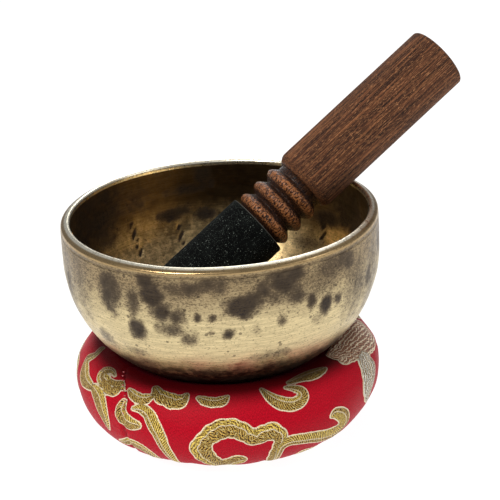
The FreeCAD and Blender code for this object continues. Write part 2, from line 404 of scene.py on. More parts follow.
def streak_group():
    """Long streaks along Z: a value from 0 to 1 that varies fast across and slowly along."""
    if "Streaks" in bpy.data.node_groups:
        return bpy.data.node_groups["Streaks"]
    numbers = {"Across": 1.0, "Along": 0.03, "Sharpness": 0.2}
    n, given, value = new_group("Streaks", numbers, "Value")
    place = n.parts(given["Vector"])
    names = ("Across", "Across", "Along")
    scaled = {i: n.times(place[i], given[name]) for i, name in enumerate(names)}
    grain = n.noise(n.add("CombineXYZ", scaled)[0], 1.0, 4.0, 0.6, 0.3)
    low, high = n.minus(0.5, given["Sharpness"]), n.plus(0.5, given["Sharpness"])
    n.set(value, n.step(grain, low, high))
    return n.tree


# ---------------------------------------------------------------- bowl
# Fire-darkened patches: azimuth in degrees, depth below the rim, half width and half height in
# mm, and strength. These are on the front of the outside.
FRONT_PATCHES = (
    (229, 14, 6.2, 9.2, 0.7), (228, 8, 4.6, 3.7, 0.6), (239, 16, 3.0, 6.4, 0.65),
    (239, 28, 4.0, 5.0, 0.85), (221, 39, 5.2, 4.6, 0.45), (213, 16, 3.8, 5.7, 0.4),
    (244, 6, 4.2, 4.5, 0.8), (246, 12, 5.0, 5.4, 0.95), (249, 18, 4.5, 4.6, 0.85),
    (254, 20, 4.3, 3.3, 0.7), (252, 26, 5.3, 3.5, 0.6), (258, 30, 4.3, 3.2, 0.6),
    (248, 26, 3.6, 3.5, 0.45), (254, 8, 5.1, 2.7, 0.55), (259, 8, 5.0, 3.2, 0.7),
    (265, 6, 4.9, 2.8, 0.65), (269, 7, 3.3, 4.0, 0.55), (275, 16, 6.6, 4.2, 1.0),
    (279, 14, 4.2, 3.6, 0.85), (283, 10, 4.2, 3.6, 0.7), (289, 9, 6.2, 5.4, 0.85),
    (293, 6, 5.4, 4.4, 0.85), (294, 15, 4.6, 4.6, 0.65), (287, 14, 4.3, 3.2, 0.5),
    (300, 19, 2.3, 3.9, 0.75), (306, 23, 3.0, 4.6, 0.9), (312, 23, 2.5, 2.9, 0.7),
    (308, 8, 6.5, 5.5, 0.5), (315, 8, 7.4, 4.6, 0.6), (310, 14, 5.6, 3.7, 0.3),
    (323, 22, 5.7, 5.8, 0.5), (331, 22, 4.2, 5.9, 0.6), (303, 29, 4.1, 3.0, 0.3),
    (261, 20, 1.4, 1.9, 0.85), (266, 20, 1.6, 1.9, 0.85), (265, 27, 1.3, 1.2, 0.6),
    (259, 26, 1.2, 1.0, 0.45), (271, 28, 2.3, 2.3, 0.8), (289, 25, 2.2, 2.5, 0.6),
    (280, 27, 2.1, 3.0, 0.3), (287, 42, 8.9, 2.8, 0.4), (236, 41, 5.2, 2.8, 0.35),
    (235, 2, 6.1, 1.8, 0.3), (275, 5, 6.5, 1.6, 0.3))
# Low round the foot, and round the sides and the back of the outside
REAR_PATCHES = (
    (250, 57, 11, 3.5, 0.6), (276, 57, 13, 3, 0.6), (300, 56, 10, 3.5, 0.6), (226, 54, 9, 5, 0.5),
    (322, 53, 8, 5, 0.6), (262, 50, 6, 2.5, 0.4), (290, 49, 8, 2.5, 0.4), (238, 47, 5, 3, 0.35),
    (322, 22, 13, 15, 0.38), (334, 24, 12, 16, 0.42), (306, 12, 12, 8, 0.35),
    (212, 18, 10, 16, 0.34), (200, 24, 10, 18, 0.36), (243, 12, 22, 6, 0.26),
    (345, 12, 6, 7, 0.5), (356, 20, 5, 5, 0.7), (2, 13, 8, 6, 0.7), (14, 21, 6, 7, 0.85),
    (22, 30, 3, 4, 0.6), (27, 12, 9, 5, 0.7), (38, 24, 5, 6, 0.7), (52, 16, 8, 7, 0.85),
    (57, 24, 4, 5, 0.6), (63, 28, 2.5, 3, 0.8), (70, 27, 1.6, 2, 0.8), (72, 12, 7, 5, 0.7),
    (84, 20, 8, 5, 1.0), (91, 14, 5, 5, 0.8), (97, 11, 6, 5, 0.7), (106, 30, 3, 3, 0.7),
    (111, 17, 3, 4, 0.7), (118, 18, 6, 6, 0.8), (124, 24, 4, 5, 0.6), (131, 10, 7, 4, 0.6),
    (140, 25, 5, 7, 0.8), (146, 15, 4, 5, 0.6), (155, 17, 8, 6, 0.75), (168, 26, 4, 5, 0.6),
    (178, 12, 7, 7, 0.7), (186, 20, 5, 6, 0.6), (192, 30, 6, 5, 0.45), (200, 22, 4, 7, 0.6),
    (60, 41, 8, 3, 0.4), (150, 42, 8, 3, 0.4))
# On the far half of the inside
FAR_PATCHES = (
    (116, 2, 2.8, 2.2, 0.6), (96, 6, 4.4, 6.8, 0.9), (102, 14, 11.7, 2.5, 0.7),
    (93, 12, 2.6, 3.5, 0.8), (112, 26, 6.1, 3.2, 0.8), (106, 25, 5.4, 2.7, 0.6),
    (96, 28, 4.8, 3.1, 0.8), (128, 15, 9.6, 6.5, 0.45), (149, 12, 17.9, 15.1, 0.8),
    (161, 12, 10.7, 12.6, 0.9), (146, 26, 8.6, 6.2, 0.5), (34, 11, 14.2, 7.6, 0.9),
    (24, 16, 12.9, 10.5, 0.95), (38, 25, 9.5, 4.2, 0.75), (48, 39, 7.5, 2.8, 0.4))
# On the near half of the inside. The four large ones towards the left and right sides are painted
# dark reflection; the others are dark patches.
NEAR_PATCHES_AND_REFLECTIONS = (
    (185, 20, 14, 16, 0.85), (210, 24, 14, 12, 0.7), (-2, 20, 14, 14, 0.8), (-25, 24, 15, 14, 0.7),
    (235, 22, 10, 8, 0.5), (260, 16, 8, 6, 0.5), (290, 25, 10, 7, 0.5), (315, 20, 9, 9, 0.6))
# Rows of slanting punch marks inside: azimuth, first depth, count
PUNCH_ROWS = ((130, 25.5, 5), (108, 32.5, 5), (129.5, 37, 3), (72, 30, 4), (40, 28, 5),
              (5, 34, 4), (190, 34, 4), (228, 30, 5), (262, 34, 4), (300, 30, 5), (334, 36, 4))
PUNCH_PITCH = 1.9
PUNCH_DEPTH = 0.35 * MM
RIM_BEVEL = 1.1 * MM
RIM_TILT = 0.29            # slope of the lip's top
GROOVE_DEPTH = 0.28 * MM   # of the line under the rolled rim


def bowl_section():
    """Section from the middle of the base, up the outside, over the lip and down inside."""
    outer_angle = -math.asin((SHOULDER_Z - SEAT_Z) / BOTTOM_ARC)
    rim_r = BOWL_RADIUS - RIM_DRAW_IN
    lip_z = RIM_Z - LIP_FALL
    side_arc = arc_radius(RIM_DRAW_IN, lip_z - SHOULDER_Z)
    side_angle = math.asin((lip_z - SHOULDER_Z) / side_arc)
    corner_reach = BOTTOM_ARC - BASE_EDGE
    corner_r = BOTTOM_CENTRE + math.sqrt(corner_reach**2 - (SHOULDER_Z - SEAT_Z - BASE_EDGE)**2)
    corner_angle = math.atan2(SEAT_Z + BASE_EDGE - SHOULDER_Z, corner_r - BOTTOM_CENTRE)
    outside = joined_points(
        line_points((0, SEAT_Z), (corner_r, SEAT_Z), 14),
        arc_points((corner_r, SEAT_Z + BASE_EDGE), BASE_EDGE, -math.pi / 2, corner_angle, 4),
        arc_points((BOTTOM_CENTRE, SHOULDER_Z), BOTTOM_ARC, corner_angle, 0, 48),
        arc_points((BOWL_RADIUS - side_arc, SHOULDER_Z), side_arc, 0, side_angle * 0.80, 12))
    groove = [(outside[-1][0], outside[-1][1] + depth * MM) for depth in (0.3, 0.55, 0.8)]
    groove[1] = (groove[1][0] - GROOVE_DEPTH, groove[1][1])
    edge = arc_points((rim_r - RIM_BEVEL, lip_z - RIM_BEVEL + 0.3 * MM), RIM_BEVEL,
                      0, math.pi / 2 - RIM_TILT, 6)
    inner_edge = arc_points((rim_r - LIP_WIDTH + RIM_BEVEL, RIM_Z - RIM_BEVEL), RIM_BEVEL,
                            math.pi / 2 - RIM_TILT, math.pi, 6)
    inner_angle = -math.asin((SHOULDER_Z - SEAT_Z - WALL) / (BOTTOM_ARC - WALL))
    floor_r = BOTTOM_CENTRE + (BOTTOM_ARC - WALL) * math.cos(inner_angle)
    lip_end, wall_end = (BOWL_RADIUS - WALL, RIM_Z - LIP_DEPTH), (BOWL_RADIUS - WALL, SHOULDER_Z)
    inside = joined_points(
        line_points(inner_edge[-1], lip_end, 12),
        line_points(lip_end, wall_end, 4),
        arc_points((BOTTOM_CENTRE, SHOULDER_Z), BOTTOM_ARC - WALL, 0, inner_angle, 46),
        line_points((floor_r, SEAT_Z + WALL), (0, SEAT_Z + WALL), 20))
    return outside + groove + edge + inner_edge + inside[1:]


def patch_strength(azimuth, depth, radius, patches, warp):
    """How dark each place is, as a share, from soft warped ovals."""
    total = np.zeros(len(azimuth))
    for centre, down, half_wide, half_high, strength in patches:
        across = turned_from(azimuth, centre) * np.pi / 180 * radius / MM
        apart = np.hypot(across / half_wide, (depth - down) / half_high) + warp
        total = np.maximum(total, strength * smooth_step(1.75, 0.25, apart))
    return total


def noise_values(places, scale, seed):
    shift = Vector((seed, seed * 1.7, seed * 0.3))
    return np.array([noise.noise(Vector(place) * scale + shift) for place in places])


def shape_bowl(mesh, settings):
    """Hammers the bowl's walls, wavers its rim and writes where its metal is dark, and where
    painted dark reflection lies inside.
    """
    places = coordinates(mesh)
    normals = vertex_normals(mesh)
    radius = axis_distance(places)
    depth = (RIM_Z - places[:, 2]) / MM
    azimuth = azimuth_of(places)
    outward = (normals[:, 0] * places[:, 0] + normals[:, 1] * places[:, 1]) > 0
    outside = outward | ((normals[:, 2] < 0) & (radius < BASE_RADIUS))
    broad = noise_values(places, 75, 3.1)
    middle = noise_values(places, 170, 8.4)
    fine = noise_values(places, 420, 5.2)
    away_from_lip = smooth_step(3.2, 9.0, depth)
    push = settings.hammer_depth * (broad + 0.55 * middle) * away_from_lip
    depth_inside = np.where(outside, -99, depth)
    punched = np.zeros(len(places))
    for row_azimuth, first, count in PUNCH_ROWS:
        for number in range(count):
            down = first + number * PUNCH_PITCH
            across = turned_from(azimuth, row_azimuth) * np.pi / 180 * radius / MM
            slant = depth_inside - down + 0.45 * across
            apart = np.hypot(across / 1.7, slant / 0.55)
            punched = np.maximum(punched, smooth_step(1.5, 0.5, apart))
    push -= PUNCH_DEPTH * punched
    places += normals * push[:, None]
    turn = np.radians(azimuth)
    waver = np.sin(3 * turn + 0.6) * 0.5 + np.sin(5 * turn + 2.1) * 0.3 + np.sin(11 * turn) * 0.12
    places[:, 2] += settings.rim_waver * waver * smooth_step(16, 2, depth)
    places[:, 0] *= 1 + 0.0016 * np.sin(2 * turn + 0.8)
    set_coordinates(mesh, places)
    warp = 0.30 * middle + 0.38 * fine
    dark = np.where(
        outside,
        patch_strength(azimuth, depth, radius, FRONT_PATCHES + REAR_PATCHES, warp),
        patch_strength(azimuth, depth, radius, FAR_PATCHES + NEAR_PATCHES_AND_REFLECTIONS, warp))
    lip = (depth < 3.0) & ~outward | (depth < 2.4)
    dark = np.where(lip, 0, dark)
    dark = np.maximum(dark, punched * 0.9)
    store(mesh, "dark", dark)
    store(mesh, "inside", np.where(outside, 0.0, 1.0) * (depth > 1.2))
    store(mesh, "depth", depth)
    store(mesh, "lip", np.clip((BOWL_RADIUS - RIM_DRAW_IN - radius) / LIP_WIDTH, 0, 1))


def bronze_material(settings):
    """Beaten bronze: brushed, toned brown, darkened in patches, rubbed bright on the rim, with
    painted light and shade in its colour.
    """
    material, n, shader = new_material("Beaten_bronze", Metallic=1.0)
    place = n.object_place()
    dark = n.attribute("dark")
    inside = n.attribute("inside")
    depth = n.attribute("depth")
    cloud = n.noise(place, 60, 5.0, 0.62)
    mottle = n.noise(place, 330, 5.0, 0.72)
    pepper = n.noise(n.stretch(place, (1, 1, 1.7)), 900, 3.0, 0.8)
    brushed = n.noise(n.stretch(place, (90, 90, 1500)), 1.0, 4.0, 0.65)
    # pale low on the outside and brown towards the rim: toned metal, with a painted highlight in
    # the pale low band and painted shade on the brown upper wall; red-brown towards the foot,
    # partly fire colour and partly painted shade where it sits in the cushion
    height = n.plus(depth, n.times(cloud, 14))
    pale = n.step(height, 14, 36, 0.12, 1.0)
    pale = n.plus(pale, n.times(mottle, 0.7))
    pale = n.minus(pale, 0.35, clamp=True)
    colour = n.mix(pale, settings.brown_bronze_and_shade[:], settings.pale_bronze_and_highlight[:])
    # darker towards the foot: fire colour, and painted shade where the bowl sits in the cushion
    foot = n.step(n.plus(depth, n.times(cloud, 8)), 47, 58, 0.0, 0.95)
    burnt_and_shaded = n.mix(n.step(mottle, 0.42, 0.62), (0.060, 0.026, 0.016), (0.44, 0.20, 0.10))
    colour = n.mix(foot, colour, burnt_and_shaded)
    # inside: painted shade high on the inner wall and a painted golden glow of reflected light
    # lower down
    inside_shade_and_glow = n.step(n.plus(depth, n.times(cloud, 20)), 28, 50)
    bowl_inside = n.mix(inside_shade_and_glow, (0.078, 0.050, 0.023), (0.98, 0.72, 0.36))
    bowl_inside = n.mix(n.step(mottle, 0.62, 0.38, 0.0, 0.45), bowl_inside, (0.09, 0.06, 0.03))
    colour = n.mix(inside, colour, bowl_inside)
    # patches: soft brown at their edges, charcoal in the middle, broken up by grain; stronger
    # inside, where those at the left and right stand in for painted dark reflection
    grain = n.plus(n.times(mottle, 0.55), n.times(brushed, 0.35))
    grain = n.plus(grain, n.times(pepper, 0.30))
    ragged = n.plus(dark, n.minus(grain, 0.60))
    halo = n.times(n.step(ragged, 0.02, 0.55), n.step(dark, 0.0, 0.25))
    core = n.step(n.plus(ragged, n.times(inside, 0.10)), 0.30, 0.90)
    colour = n.tint(halo, 0.72, colour, (0.135, 0.095, 0.060))
    colour = n.tint(core, 0.95, colour, settings.scorch_and_reflection[:])
    # fine dark peppering, thicker round the patches and on the upper wall
    upper = n.step(n.plus(depth, n.times(cloud, 30)), 44, 20)
    near = n.plus(pepper, n.times(dark, 0.16))
    near = n.plus(near, n.times(upper, 0.08))
    near = n.plus(near, n.times(foot, 0.08))
    colour = n.mix(n.step(near, 0.55, 0.68, 0.0, 0.72), colour, (0.085, 0.062, 0.040))
    specks = n.specks(place, 380.0, 0.30, 0.25)
    colour = n.tint(specks, 0.6, colour, (0.05, 0.035, 0.025))
    streaks = n.step(brushed, 0.32, 0.68, 0.78, 1.12)
    colour = n.mix(1.0, colour, streaks, "MULTIPLY")
    # the rolled rim is rubbed bright, and its brightest line, along the inner edge, is a painted
    # highlight
    lip = n.attribute("lip")
    rim = n.step(depth, 2.6, 2.2)
    rim_colour = n.mix(n.step(lip, 0.30, 0.50), (0.42, 0.29, 0.14), (1.0, 0.93, 0.74))
    rim_colour = n.mix(n.step(mottle, 0.52, 0.66, 0.0, 0.5), rim_colour, (0.16, 0.105, 0.05))
    colour = n.mix(rim, colour, rim_colour)
    line = n.times(n.step(depth, 3.0, 3.3), n.step(depth, 4.1, 3.7))
    colour = n.tint(line, 0.45, colour, (0.10, 0.065, 0.035))
    n.set(shader["Base Color"], colour)
    rough = n.plus(n.times(core, 0.16), n.step(mottle, 0.3, 0.7, 0.32, 0.46))
    rough = n.minus(rough, n.times(rim, 0.08))
    n.set(shader["Roughness"], rough)
    low = n.bump(mottle, 0.05 * MM, 0.6)
    scratches = n.bump(brushed, 0.025 * MM, 0.8, low)
    pits = n.bump(n.times(specks, -1), 0.05 * MM, 0.7, scratches)
    n.set(shader["Normal"], pits)
    return material


class BOWL_OT_shell(bpy.types.Operator):
    """Turn, hammer and tone the bronze bowl"""
    bl_idname = "singing_bowl.shell"
    bl_label = "Bowl"

    def execute(self, context):
        settings = context.scene.bowl_settings
        bm = turned_mesh(bowl_section(), BOWL_STEPS, closed=False)
        piece = finished_object("bowl_shell", bm, "bowl", bronze_material(settings),
                                ["bowl"])
        shape_bowl(piece.data, settings)
        return {"FINISHED"}


# ---------------------------------------------------------------- ring cushion
HOLE_Z = SEAT_Z - SEAT_CLEARANCE - HOLE_EDGE
HOLE_ARC = arc_radius(FOOT_INNER - HOLE_RADIUS, HOLE_Z)
MM_PER_DEGREE = 1.17      # along the cushion's widest ring
SEAM_BEND = 9.0           # height along the cloth, in mm, above which the joint slants
SEAM_SLANT = 0.8          # degrees of slant for each mm
SLANT_HEIGHT = 16         # mm over which it slants
SEAM_SHIFT = 0.6          # degrees
CREASE_WIDTH = 1.3        # mm, and its depth
CREASE_DEPTH = 0.75
PUCKER_DEPTH = 0.12
GATHER_DEPTH = 0.42 * MM
GATHER_COUNT = 34         # pleats round the hole
PETAL_PITCH = 2.1         # mm from one band of a petal to the next
LOBE_PITCH = 4.4          # mm along a figure from one lobe of its edge to the next
CLOTH_SLACK = 1.2 * MM    # how far inside its place the cloth starts
CLOTH_FRAMES = 20
CLOTH = {"use_pressure": True, "uniform_pressure_force": 4.0, "shrink_min": -0.035,
         "tension_stiffness": 12, "compression_stiffness": 12, "bending_stiffness": 0.3,
         "quality": 6}
# Stitches of the joint: lowest, highest and pitch along the cloth in mm, then metres
STITCH_LOW, STITCH_HIGH, STITCH_PITCH = -24.0, 22.0, 1.9
STITCH_RADIUS = 0.28 * MM
STITCH_DEPTH = 0.62 * MM
STITCH_SHAPE = (0.8, 2.6, 1.0)
STITCH_TILT = 0.35


def cushion_section(inset=0.0):
    """Closed section of the ring, drawn in by inset where it shows."""
    seat_low = SEAT_Z - SEAT_CLEARANCE
    seat_angle = -math.asin((SHOULDER_Z - seat_low) / SEAT_ARC)
    seat_edge = (BOTTOM_CENTRE + SEAT_ARC * math.cos(seat_angle), seat_low)
    waist = CUSHION_RADIUS
    lower = arc_points((waist - LOWER_ARC, WAIST_Z), LOWER_ARC - inset, -LOWER_ANGLE, 0, 20)
    side = arc_points((waist - SIDE_ARC, WAIST_Z), SIDE_ARC - inset, 0, SIDE_ANGLE, 10)
    crown = arc_points((CROWN_R, CROWN_Z), CROWN_ARC - inset, SIDE_ANGLE, GRIP_ANGLE + math.pi, 9)
    seat = arc_points((BOTTOM_CENTRE, SHOULDER_Z), SEAT_ARC, GRIP_ANGLE, seat_angle, 10)
    top = line_points(seat_edge, (HOLE_RADIUS + HOLE_EDGE, seat_low), 3)
    edge = arc_points((HOLE_RADIUS + HOLE_EDGE, HOLE_Z), HOLE_EDGE, math.pi / 2, math.pi, 5)
    hole_end = math.pi + math.asin(HOLE_Z / HOLE_ARC)
    hole = arc_points((HOLE_RADIUS + HOLE_ARC, HOLE_Z), HOLE_ARC, math.pi, hole_end, 9)
    foot = line_points((FOOT_INNER, 0), (FOOT_OUTER, 0), 5)
    return joined_points(lower, side, crown, seat, top, edge, hole, foot)[:-1]


def cloth_height(radius, height):
    """Distance along the section from the waist in mm, upwards positive, for the outside."""
    lower = np.arctan2(height - WAIST_Z, radius - (CUSHION_RADIUS - LOWER_ARC)) * LOWER_ARC
    side = np.arctan2(height - WAIST_Z, radius - (CUSHION_RADIUS - SIDE_ARC)) * SIDE_ARC
    turn = np.arctan2(height - CROWN_Z, radius - CROWN_R)
    crown = SIDE_ANGLE * SIDE_ARC + (turn - SIDE_ANGLE) * CROWN_ARC
    above = np.where((turn > SIDE_ANGLE) & (height > WAIST_Z), crown, side)
    return np.where(height < WAIST_Z, lower, above) / MM


def seam_azimuth(height):
    """Where the joint of the cloth is at a height along the cloth in mm."""
    return JOINT_AZIMUTH + SEAM_SHIFT - SEAM_SLANT * np.clip(height - SEAM_BEND, 0, SLANT_HEIGHT)


def from_seam(azimuth, height):
    """Distance in mm from the slanting joint of the cloth, positive anticlockwise."""
    return turned_from(azimuth, seam_azimuth(height)) * MM_PER_DEGREE


# Woven figures. Each stroke: tint, place of its vein across it, half widths along it in mm, and
# its line as (azimuth in degrees, height along the cloth in mm)
CLOUD_SCROLL = (
    (0.3, 0.3, (2.6, 3.5, 3.4, 3.9, 4.3, 3.2, 3.6, 3.6, 3.5, 3.3, 3.2, 3.3, 3.4, 2.6, 2.3, 2.5,
                2.4),
     ((273, -14.2), (269.8, -15.4), (265.4, -18.2), (261.4, -13.2), (259, -7.2), (260.6, -2.2),
      (263.8, 1), (267.8, 2.8), (271.8, 2), (275.4, -0.8), (278.2, -2.6), (281, -0.8),
      (284.6, -1.2), (286.6, -4.4), (285.4, -9.8), (284.6, -15.6), (284.6, -26))),)
CLOUD_BAND = (
    (0.25, -0.3, (2, 2.5, 2.6, 2.7, 3, 3.6, 4.2, 3.2, 3.2, 2.4, 1.2),
     ((285.4, -19.6), (286.2, -10), (289.8, -7.2), (294.6, -8), (299.8, -9.6), (305.8, -12),
      (311.4, -13.2), (315, -11.2), (313.4, -5.6), (309.4, -2), (307.4, -2.2))),
    (0.6, 0.2, (1.1, 1.8, 2, 1.7, 1),
     ((296.2, -24.8), (297, -19), (302.6, -21), (308.6, -22.6), (313.8, -21.4))),)
LEAF = (
    (0.55, 0.2, (1.3, 2.5, 3.4, 3, 1.7),
     ((227.4, 7.6), (227, 4), (229, 0.8), (232.2, -0.4), (235.8, 0))),
    (0.2, -0.3, (0.9, 2.1, 2.6, 3.1, 3, 2.6, 2.3, 1.1),
     ((232.6, 6.2), (236.2, 7.2), (239.8, 5.6), (242.2, 1.8), (244.2, -2.2), (245.4, -7.4),
      (247, -13.2), (248.6, -21))),
    (0.45, 0.3, (1.2, 2.5, 2.9, 2.7, 1.8, 0.8),
     ((223, -15.4), (230.2, -12), (235, -13), (238.2, -17.4), (239.8, -24.2), (244.2, -24.8))),)
HOOK = (
    (0.4, 0.3, (3.3, 2.9, 2.6, 3, 2.9, 2.4, 1.5, 0.8),
     ((225.8, 16), (223.8, 14.6), (220.2, 12.4), (215, 11.2), (209.8, 12.2), (210.2, 15.6),
      (213.4, 17.4), (216.6, 16.4))),)
LOBES = (
    (0.35, 0.35, (1.9, 3, 3.1, 3.4, 2.4, 1.4),
     ((239, 18), (241.8, 14.8), (245, 14.2), (249, 13.2), (251.8, 14.6), (252.6, 17.2))),
    (0.5, 0.35, (1.2, 2.3, 2.3, 2.3, 1),
     ((257.8, 16.2), (260.6, 14.8), (263.8, 14.2), (267, 14.8), (269, 16.8))),)
OVAL = (
    (0.55, 0.35, (1, 2.2, 3, 2.9, 2.6, 2.3, 1.6, 0.9),
     ((283, 19), (285, 14.4), (288.2, 10.6), (293, 8.4), (297.4, 9.6), (298.2, 12.8), (295.4, 15.4),
      (292.6, 16.8))),)
SIDE_LEAF = (
    (0.3, 0.2, (1.8, 2, 2.4),
     ((193, 20.6), (195, 16), (192.2, 11.4))),
    (0.5, 0.25, (2.1, 3.7, 3.3, 2.1),
     ((192.2, 10), (195.8, 7), (200.6, 5), (206.6, 5.2))),
    (0.6, 0.2, (2.1, 3.8, 4, 2.7, 0.9),
     ((209.4, 5.6), (214.2, 3.8), (217.4, -0.2), (219, -4.4), (219.4, -9))),)
FLOWER = (
    (1.3, 0.5, (2.9, 6.9, 9.3, 10, 8.3),
     ((323.8, 22.6), (329.8, 20.8), (339, 19.2), (349, 16.2), (357, 13))),
    (1.3, 0, (2.3, 4, 4.8),
     ((324.2, 16.6), (329, 17), (337, 15.2))),
    (1, 0.3, (3.6, 6, 5.8, 4.4, 1.5),
     ((337.4, 12.4), (335.8, 7.4), (333, 2.4), (330.6, -2.4), (332.2, -9.4))),)
SHADE_LEAF = (
    (0.4, 0.3, (1.2, 2.4, 3.3, 2.2, 0.8),
     ((295, 19.2), (300.6, 19.6), (306.2, 19), (311.4, 18.6), (314.2, 18.4))),)
FRONT = (CLOUD_SCROLL, CLOUD_BAND, LEAF, HOOK, LOBES, OVAL, SIDE_LEAF, FLOWER, SHADE_LEAF)
# Where the same figures come again round the back: figures, turn in degrees, shift in mm
REPEATS = (
    (FRONT, 0, 0), ((CLOUD_SCROLL, CLOUD_BAND, OVAL, LOBES), 128, 0),
    ((LEAF, HOOK, FLOWER), 152, 0), ((CLOUD_SCROLL,), -112, 1), ((SIDE_LEAF, LOBES), -30, -3),
    ((CLOUD_BAND, HOOK), -128, 2), ((CLOUD_SCROLL, LEAF), 40, -34), ((CLOUD_BAND,), 180, -32),
    ((HOOK, OVAL), 150, -46), ((LEAF,), -90, -34), ((CLOUD_SCROLL,), -150, -36))
STROKE_STEPS = 5


def smooth_line(points):
    """Catmull-Rom points through the given ones."""
    ends = [points[0], *points, points[-1]]
    line = []
    for a, b, c, d in zip(ends, ends[1:], ends[2:], ends[3:]):
        for i in range(STROKE_STEPS):
            t = i / STROKE_STEPS
            line.append([0.5 * (2 * q + (r - p) * t + (2 * p - 5 * q + 4 * r - s) * t**2
                                + (3 * q - p - 3 * r + s) * t**3)
                         for p, q, r, s in zip(a, b, c, d)])
    line.append(list(points[-1]))
    return np.array(line)


def draw_figures(azimuth, height):
    """For each place: signed distances in mm to the nearest figure's edge and to its vein, and
    (along, across, tint) for its yarn."""
    count = len(azimuth)
    edge = np.full(count, 9.0)
    vein = np.full(count, 9.0)
    yarn = np.zeros((count, 3))
    for figures, turn, shift in REPEATS:
        for stroke in (stroke for figure in figures for stroke in figure):
            tint, vein_place, widths, points = stroke
            lobe_depth = 1.1 if stroke in CLOUD_SCROLL + LOBES + FLOWER else 0.15
            line = smooth_line([(*point, width) for point, width in zip(points, widths)])
            middle = line[:, 0].mean() + turn
            across_x = turned_from(azimuth, middle) * MM_PER_DEGREE
            line_x = (line[:, 0] + turn - middle) * MM_PER_DEGREE
            line_y = line[:, 1] + shift
            reach = line[:, 2].max() + 2
            near = np.flatnonzero(
                (across_x > line_x.min() - reach) & (across_x < line_x.max() + reach)
                & (height > line_y.min() - reach) & (height < line_y.max() + reach))
            if not len(near):
                continue
            best = np.full(len(near), 99.0)
            facts = np.zeros((len(near), 3))
            run = 0.0
            for i in range(len(line) - 1):
                start = np.array((line_x[i], line_y[i]))
                way = np.array((line_x[i + 1], line_y[i + 1])) - start
                length = math.hypot(*way)
                from_start = np.stack((across_x[near], height[near]), 1) - start
                share = np.clip(from_start @ way / length**2, 0, 1)
                apart = np.linalg.norm(from_start - share[:, None] * way, axis=1)
                width = line[i, 2] + share * (line[i + 1, 2] - line[i, 2])
                lobes = np.abs(np.sin(math.pi * (run + share * length) / LOBE_PITCH)) - 0.6
                width = width + lobe_depth * lobes * smooth_step(1.8, 3.2, width)
                side = np.sign(way[0] * from_start[:, 1] - way[1] * from_start[:, 0])
                signed = apart - width
                closer = signed < best
                best = np.where(closer, signed, best)
                found = np.stack((run + share * length, side * apart,
                                  side * apart - vein_place * width), 1)
                facts = np.where(closer[:, None], found, facts)
                run += length
            if stroke is HOOK[0]:
                best = np.maximum(best, from_seam(azimuth[near], height[near]) + 0.4)
            better = best < edge[near]
            chosen = near[better]
            edge[chosen] = best[better]
            vein[chosen] = facts[better, 2]
            yarn[chosen, :2] = facts[better, :2]
            yarn[chosen, 2] = tint
    return edge, vein, yarn


def swell_cloth(piece, target, settings):
    """Lets the cloth swell under pressure, and holds each point near its place in the target."""
    held = piece.vertex_groups.new(name="held")
    radius = axis_distance(target)
    gripped = (radius < FOOT_OUTER - 2 * MM) | (radius < CROWN_R - 3 * MM)
    held.add([int(i) for i in np.flatnonzero(gripped)], 1.0, "REPLACE")
    cloth = piece.modifiers.new("Cloth", "CLOTH")
    cloth.settings.vertex_group_mass = held.name
    for key, value in CLOTH.items():
        setattr(cloth.settings, key, value)
    cloth.settings.effector_weights.gravity = 0
    cloth.point_cache.frame_end = CLOTH_FRAMES
    for number in range(1, CLOTH_FRAMES + 1):
        bpy.context.scene.frame_set(number)
    graph = bpy.context.evaluated_depsgraph_get()
    swollen = coordinates(piece.evaluated_get(graph).data)
    piece.modifiers.remove(cloth)
    piece.vertex_groups.remove(held)
    bpy.context.scene.frame_set(1)
    moved = swollen - target
    far = np.linalg.norm(moved, axis=1)
    cap = settings.swell
    moved *= (cap * np.tanh(far / cap) / np.maximum(far, 1e-9))[:, None]
    set_coordinates(piece.data, target + moved)


def dress_cushion(mesh, settings):
    """Puckers the cloth at its joint and hole, raises the figures and keeps clear of the bowl."""
    places = coordinates(mesh)
    mesh.update()
    normals = vertex_normals(mesh)
    radius = axis_distance(places)
    azimuth = azimuth_of(places) % 360
    height = cloth_height(radius, places[:, 2])
    outer = smooth_step(CROWN_R - 2 * MM, CROWN_R + 4 * MM, radius)
    apart = from_seam(azimuth, height)
    crease = np.exp(-(apart / CREASE_WIDTH)**2) * (0.4 + 0.6 * outer)
    pucker = np.exp(-np.abs(apart) / 6) * np.sin(height * 1.9) * np.exp(-(apart / 8)**2)
    toward_hole = smooth_step(46 * MM, 16 * MM, radius)
    turn = np.radians(azimuth)
    gathers = np.sin(turn * GATHER_COUNT + 1.4 * np.sin(turn * 5)) * toward_hole
    edge, vein, yarn = draw_figures(azimuth, height)
    raised = smooth_step(0.5, -0.5, edge)
    slack = noise_values(places, 60, 2.2) * 0.35 + noise_values(places, 150, 4.4) * 0.10
    push = (-CREASE_DEPTH * crease + PUCKER_DEPTH * pucker + slack * outer - 0.25 * outer) * MM
    push += GATHER_DEPTH * gathers + settings.emboss * raised
    places += normals * push[:, None]
    clear_of_bowl(places)
    set_coordinates(mesh, places)
    store(mesh, "figure", edge)
    store(mesh, "vein", vein)
    store(mesh, "yarn", yarn)
    along = ((azimuth - JOINT_AZIMUTH) % 360) * MM_PER_DEGREE
    store(mesh, "cloth", np.stack((along, height, crease), 1))


def clear_of_bowl(places):
    """Keeps the cloth above the table and outside the bowl."""
    places[:, 2] = np.maximum(places[:, 2], 0.0)
    radius = axis_distance(places)
    room = BOTTOM_ARC + 1.2 * SEAT_CLEARANCE
    below = SHOULDER_Z - places[:, 2]
    reach = np.hypot(radius - BOTTOM_CENTRE, below)
    inside = (reach < room) & (places[:, 2] > SEAT_Z - 2 * MM) & (radius > BASE_RADIUS)
    wanted = BOTTOM_CENTRE + np.sqrt(np.maximum(room**2 - below**2, 0))
    share = np.where(inside, wanted / np.maximum(radius, 1e-6), 1.0)
    places[:, :2] *= share[:, None]
    low = radius <= BASE_RADIUS
    places[low, 2] = np.minimum(places[low, 2], SEAT_Z - SEAT_CLEARANCE)


